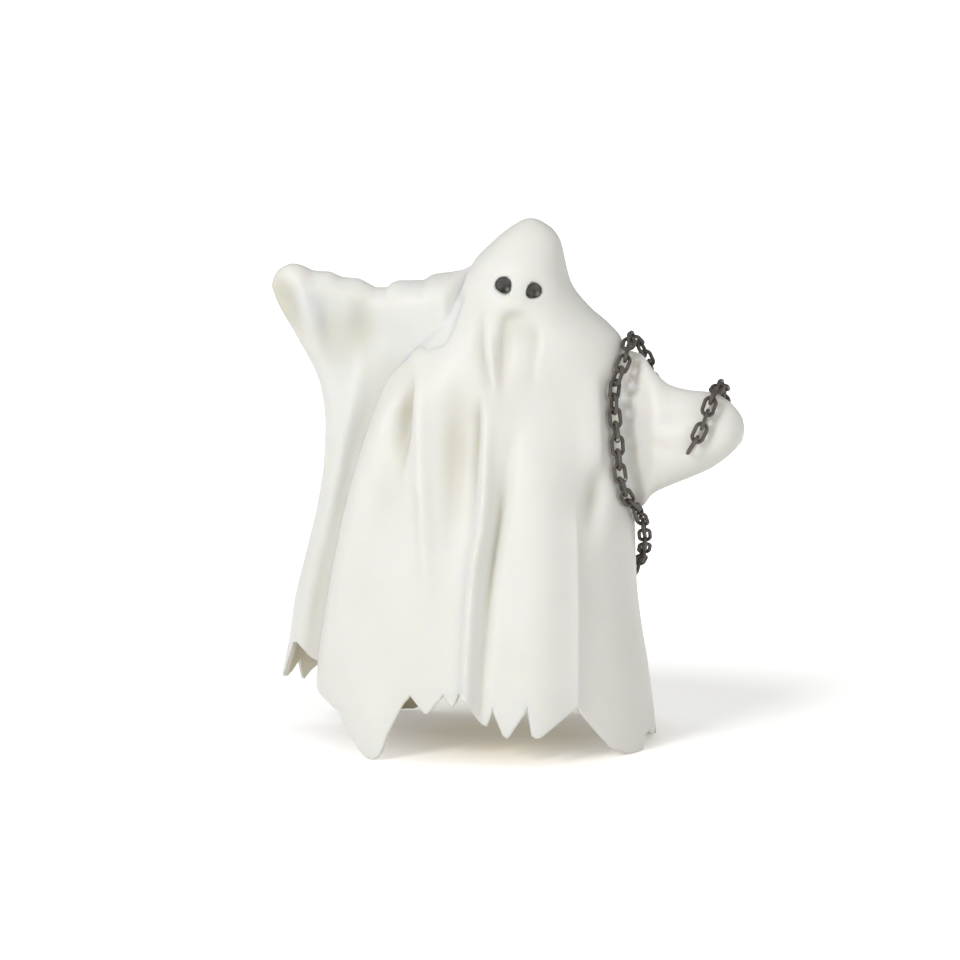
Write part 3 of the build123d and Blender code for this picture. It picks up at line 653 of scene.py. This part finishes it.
# cast tone: soft clouds of tone and a fine grain, for anything moulded or brushed
def makeCloudGroup():
    group = bpy.data.node_groups.new("castClouds", "ShaderNodeTree")
    for label, default in (("Cloud Size", 120.0), ("Grain Size", 2600.0)):
        socket = group.interface.new_socket(label, in_out="INPUT", socket_type="NodeSocketFloat")
        socket.default_value = default
    group.interface.new_socket("Clouds", in_out="OUTPUT", socket_type="NodeSocketFloat")
    group.interface.new_socket("Grain", in_out="OUTPUT", socket_type="NodeSocketFloat")
    entry = group.nodes.new("NodeGroupInput")
    leave = group.nodes.new("NodeGroupOutput")
    place = group.nodes.new("ShaderNodeTexCoord")
    for label, size, detail in (("Clouds", "Cloud Size", 3.0), ("Grain", "Grain Size", 2.0)):
        noise = group.nodes.new("ShaderNodeTexNoise")
        noise.inputs["Detail"].default_value = detail
        group.links.new(place.outputs["Object"], noise.inputs["Vector"])
        group.links.new(entry.outputs[size], noise.inputs["Scale"])
        group.links.new(noise.outputs["Fac"], leave.inputs[label])
    return group


# a group node with its two noise sizes: the cloud and the grain value
def addClouds(tree, group, sizes):
    node = tree.nodes.new("ShaderNodeGroup")
    node.node_tree = group
    for label, size in zip(("Cloud Size", "Grain Size"), sizes):
        node.inputs[label].default_value = size
    return node.outputs["Clouds"], node.outputs["Grain"]


# first colour at factor 0, second at 1; either is a fixed colour or a socket
def mixColours(tree, first, second, factor):
    node = tree.nodes.new("ShaderNodeMix")
    node.data_type = "RGBA"
    for socket, value in ((node.inputs[6], first), (node.inputs[7], second)):
        if hasattr(value, "links"):
            tree.links.new(value, socket)
        else:
            socket.default_value = (*value, 1)
    tree.links.new(factor, node.inputs[0])
    return node.outputs[2]


# a value moved from one range to another, in a straight line with held ends
def rangeOf(tree, value, low, high, outLow, outHigh):
    node = tree.nodes.new("ShaderNodeMapRange")
    node.inputs["From Min"].default_value = low
    node.inputs["From Max"].default_value = high
    node.inputs["To Min"].default_value = outLow
    node.inputs["To Max"].default_value = outHigh
    tree.links.new(value, node.inputs["Value"])
    return node.outputs["Result"]


# math node of two values
def combine(tree, operation, first, second):
    node = tree.nodes.new("ShaderNodeMath")
    node.operation = operation
    tree.links.new(first, node.inputs[0])
    tree.links.new(second, node.inputs[1])
    return node.outputs[0]


# grain spread over a range of roughness
def roughenBy(tree, shader, grain, low, high):
    rough = rangeOf(tree, grain, *grainSpan, low, high)
    tree.links.new(rough, shader.inputs["Roughness"])


# grain as a slight bump, its height in millimetres
def bumpBy(tree, shader, grain, strength, height):
    bump = tree.nodes.new("ShaderNodeBump")
    bump.inputs["Strength"].default_value = strength
    bump.inputs["Distance"].default_value = height * mm
    tree.links.new(grain, bump.inputs["Height"])
    tree.links.new(bump.outputs["Normal"], shader.inputs["Normal"])


sheetLook = {
    "light": (0.87, 0.86, 0.825),
    "warm": (0.79, 0.768, 0.69),
    # painted warm shade on the inner faces, for light that bounces within the sheet
    "inside": (0.90, 0.85, 0.74),
    # painted shade for the hollows of the folds
    "deep": (0.66, 0.635, 0.535),
    "clouds": (90.0, 2600.0),
    "warmFrom": (0.35, 0.7),
    "warmMost": 0.25,
    "deepMost": 0.7,
    "rough": (0.42, 0.54),
    "bump": (0.12, 0.06),
    "specular": 0.35,
    # light that goes into the material: its share, tint and depth in millimetres
    "softShare": 0.5,
    "softTint": (1.0, 0.8, 0.5),
    "softDepth": 2.0,
}

chainLook = {
    "dark": (0.060, 0.053, 0.046),
    "brown": (0.115, 0.098, 0.082),
    "bare": (0.62, 0.60, 0.55),
    "clouds": (420.0, 2200.0),
    "brownFrom": (0.38, 0.66),
    "bareFrom": (0.71, 0.74),
    "bareMost": 0.9,
    "rough": (0.38, 0.62),
    "bump": (0.5, 0.08),
}

eyeLook = {
    "dark": (0.018, 0.014, 0.011),
    "grey": (0.10, 0.09, 0.08),
    "clouds": (700.0, 2600.0),
    "greyFrom": (0.4, 0.7),
    "rough": (0.3, 0.5),
}


# moulded sheet: light tone clouded with a warm one, painted shade in hollows, painted warm shade inside,
# a little translucent
def makeSheetMaterial(group):
    material, tree, shader = newMaterial("mouldedSheet")
    clouds, grain = addClouds(tree, group, sheetLook["clouds"])
    marks = {}
    for label in ("creaseShade", "inside"):
        node = tree.nodes.new("ShaderNodeAttribute")
        node.attribute_name = label
        marks[label] = node.outputs["Fac"]
    warm = rangeOf(tree, clouds, *sheetLook["warmFrom"], 0.0, sheetLook["warmMost"])
    colour = mixColours(tree, sheetLook["light"], sheetLook["warm"], warm)
    # painted shade darkens the colour in the hollows of the folds
    deep = rangeOf(tree, marks["creaseShade"], 0.0, 1.0, 0.0, sheetLook["deepMost"])
    colour = mixColours(tree, colour, sheetLook["deep"], deep)
    # painted warm shade on the inner faces
    colour = mixColours(tree, colour, sheetLook["inside"], marks["inside"])
    tree.links.new(colour, shader.inputs["Base Color"])
    roughenBy(tree, shader, grain, *sheetLook["rough"])
    bumpBy(tree, shader, grain, *sheetLook["bump"])
    shader.inputs["Subsurface Weight"].default_value = sheetLook["softShare"]
    shader.inputs["Subsurface Radius"].default_value = sheetLook["softTint"]
    shader.inputs["Subsurface Scale"].default_value = sheetLook["softDepth"] * mm
    shader.inputs["Specular IOR Level"].default_value = sheetLook["specular"]
    return material


# brushed paint: dark tone clouded with a brown one, and bare spots where the clouds peak
def makePaintMaterial(group):
    material, tree, shader = newMaterial("brushedChainPaint")
    clouds, grain = addClouds(tree, group, chainLook["clouds"])
    brown = rangeOf(tree, clouds, *chainLook["brownFrom"], 0.0, 1.0)
    colour = mixColours(tree, chainLook["dark"], chainLook["brown"], brown)
    bare = rangeOf(tree, clouds, *chainLook["bareFrom"], 0.0, chainLook["bareMost"])
    colour = mixColours(tree, colour, chainLook["bare"], bare)
    tree.links.new(colour, shader.inputs["Base Color"])
    roughenBy(tree, shader, grain, *chainLook["rough"])
    bumpBy(tree, shader, grain, *chainLook["bump"])
    return material


# eye paint: dark tone clouded with grey
def makeEyeMaterial(group):
    material, tree, shader = newMaterial("eyePaint")
    clouds, grain = addClouds(tree, group, eyeLook["clouds"])
    grey = rangeOf(tree, clouds, *eyeLook["greyFrom"], 0.0, 1.0)
    colour = mixColours(tree, eyeLook["dark"], eyeLook["grey"], grey)
    tree.links.new(colour, shader.inputs["Base Color"])
    roughenBy(tree, shader, grain, *eyeLook["rough"])
    return material


castClouds = makeCloudGroup()
sheetFinish = makeSheetMaterial(castClouds)
paintFinish = makePaintMaterial(castClouds)
eyeFinish = makeEyeMaterial(castClouds)
print("finishes ready")

frontGrid = (drape["rows"], drape["columns"])
rearGrid = (drape["rearRows"], drape["rearColumns"])
buildDrape("front_sheet", -1, drape["frontHem"], *frontGrid, sheetFinish, ["front_drape"])
buildDrape("rear_sheet", 1, drape["rearHem"], *rearGrid, sheetFinish, ["rear_drape"])
buildSleeve("raised_arm", sheetFinish, ["raised_sleeve"])
buildArm("lowered_arm", sheetFinish, ["lowered_sleeve"])

for name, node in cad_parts.items():
    finishOf = paintFinish if "link" in name else eyeFinish if "eye" in name else sheetFinish
    node.data.materials.clear()
    node.data.materials.append(finishOf)
    node.data.polygons.foreach_set("use_smooth", np.ones(len(node.data.polygons), bool))
print("chain and eyes painted")


# studio: a level floor that glows up to white away from the figure, soft light from above and the left
studio = {
    "aim": (-4.6, 0.0, 44.9),
    "away": 900.0,
    "rise": 10.0,
    "seen": 164.0,
    "sensor": 36.0,
    "clipEnd": 20.0,
    "floorX": (-6000.0, 6000.0),
    "floorY": (-3000.0, 9000.0),
    "floorLines": 13,
    "floorTone": (0.84, 0.84, 0.83),
    "floorRough": 0.9,
    # glow of the floor: its least, and from where it rises to white about the middle of the shade
    "floorLift": 0.34,
    "whiteFrom": 40.0,
    "whiteBy": 135.0,
    "shadeMiddle": (10.0, 24.0, 0.0),
    "shadeSquash": (1.0, 1.7, 1.0),
    # painted warm shadow under the hem, in the floor's colour and its glow
    "underShadeTone": (0.80, 0.75, 0.64),
    "underShadeFrom": 10.0,
    "underShadeBy": 32.0,
    "lamps": [  # place, size, watts
        ((-420, -520, 430), 220, 2.75), ((420, -560, 240), 380, 1.05), ((420, 300, 360), 380, 0.3),
        ((-440, 260, 420), 380, 0.5), ((0, 60, 700), 420, 0.35),
    ],
    "worldTone": (1.0, 0.985, 0.95),
    "worldStrength": 0.32,
}


# turns a lamp or camera at a place towards the aim
def pointAt(holder, place, aim):
    holder.location = Vector(place * mm)
    holder.rotation_euler = Vector((aim - place) * mm).to_track_quat("-Z", "Y").to_euler()


# vector node of the floor's own coordinates and one fixed vector
def vectorNode(tree, operation, source, fixed=None):
    node = tree.nodes.new("ShaderNodeVectorMath")
    node.operation = operation
    tree.links.new(source, node.inputs[0])
    if fixed is not None:
        node.inputs[1].default_value = fixed
    return node


# floor: for the camera its glow rises in a straight line from the shade's middle to white
def buildFloor():
    acrossX = np.linspace(*studio["floorX"], studio["floorLines"])
    acrossY = np.linspace(*studio["floorY"], studio["floorLines"])
    x, y = np.meshgrid(acrossX, acrossY)
    points = np.stack([x, y, 0 * x], -1)
    index = np.arange(x.size).reshape(x.shape)
    mesh = bpy.data.meshes.new("paleFloor")
    mesh.from_pydata((points.reshape(-1, 3) * mm).tolist(), [], facesBetween(index))
    mesh.polygons.foreach_set("use_smooth", np.ones(len(mesh.polygons), bool))
    floor = bpy.data.objects.new("paleFloor", mesh)
    scene.collection.objects.link(floor)
    material, tree, shader = newMaterial("paleFloor")
    shader.inputs["Roughness"].default_value = studio["floorRough"]
    shader.inputs["Specular IOR Level"].default_value = 0.0
    place = tree.nodes.new("ShaderNodeTexCoord").outputs["Object"]
    away = vectorNode(tree, "LENGTH", place).outputs["Value"]
    squashed = vectorNode(tree, "MULTIPLY", place, studio["shadeSquash"]).outputs["Vector"]
    middle = np.array(studio["shadeMiddle"]) * np.array(studio["shadeSquash"]) * mm
    shade = vectorNode(tree, "DISTANCE", squashed, middle.tolist()).outputs["Value"]
    near, far = studio["whiteFrom"] * mm, studio["whiteBy"] * mm
    lift = rangeOf(tree, shade, near, far, studio["floorLift"], 1.0)
    # painted warm shadow: the floor's colour and glow turn tan near the figure's middle
    near, far = studio["underShadeFrom"] * mm, studio["underShadeBy"] * mm
    underShade = rangeOf(tree, away, near, far, 1.0, 0.0)
    tone = mixColours(tree, studio["floorTone"], studio["underShadeTone"], underShade)
    tree.links.new(tone, shader.inputs["Base Color"])
    glow = mixColours(tree, (1, 1, 1), studio["underShadeTone"], underShade)
    tree.links.new(glow, shader.inputs["Emission Color"])
    path = tree.nodes.new("ShaderNodeLightPath")
    seen = combine(tree, "MAXIMUM", path.outputs["Is Camera Ray"], path.outputs["Is Glossy Ray"])
    shown = combine(tree, "MULTIPLY", seen, lift)
    tree.links.new(shown, shader.inputs["Emission Strength"])
    mesh.materials.append(material)


# world: a soft warm room for the light, plain white for the camera
def buildWorld():
    world = bpy.data.worlds.new("softRoom")
    scene.world = world
    world.use_nodes = True
    tree = world.node_tree
    room = tree.nodes["Background"]
    room.inputs["Color"].default_value = (*studio["worldTone"], 1)
    room.inputs["Strength"].default_value = studio["worldStrength"]
    white = tree.nodes.new("ShaderNodeBackground")
    white.inputs["Color"].default_value = (1, 1, 1, 1)
    path = tree.nodes.new("ShaderNodeLightPath")
    camera, passing = path.outputs["Is Camera Ray"], path.outputs["Is Transmission Ray"]
    direct = combine(tree, "MAXIMUM", camera, passing)
    either = tree.nodes.new("ShaderNodeMixShader")
    tree.links.new(direct, either.inputs[0])
    tree.links.new(room.outputs[0], either.inputs[1])
    tree.links.new(white.outputs[0], either.inputs[2])
    tree.links.new(either.outputs[0], tree.nodes["World Output"].inputs["Surface"])


# round soft lamps, all turned to the aim
def buildLamps():
    aim = np.array(studio["aim"])
    for number, (place, size, watts) in enumerate(studio["lamps"]):
        lamp = bpy.data.lights.new(f"softbox{number}", "AREA")
        lamp.shape = "DISK"
        lamp.size = size * mm
        lamp.energy = watts
        holder = bpy.data.objects.new(f"softbox{number}", lamp)
        scene.collection.objects.link(holder)
        pointAt(holder, np.array(place, float), aim)


# camera in front of the aim, raised by the rise angle, its lens so long that it sees the width asked for
def placeCamera():
    camera = bpy.data.cameras.new("photoView")
    camera.sensor_width = studio["sensor"]
    camera.lens = studio["sensor"] * studio["away"] / studio["seen"]
    camera.clip_end = studio["clipEnd"]
    holder = bpy.data.objects.new("photoView", camera)
    scene.collection.objects.link(holder)
    rise = math.radians(studio["rise"])
    aim = np.array(studio["aim"])
    place = aim + studio["away"] * np.array([0, -math.cos(rise), math.sin(rise)])
    pointAt(holder, place, aim)
    scene.camera = holder


buildFloor()
buildWorld()
buildLamps()
placeCamera()
print("studio ready")
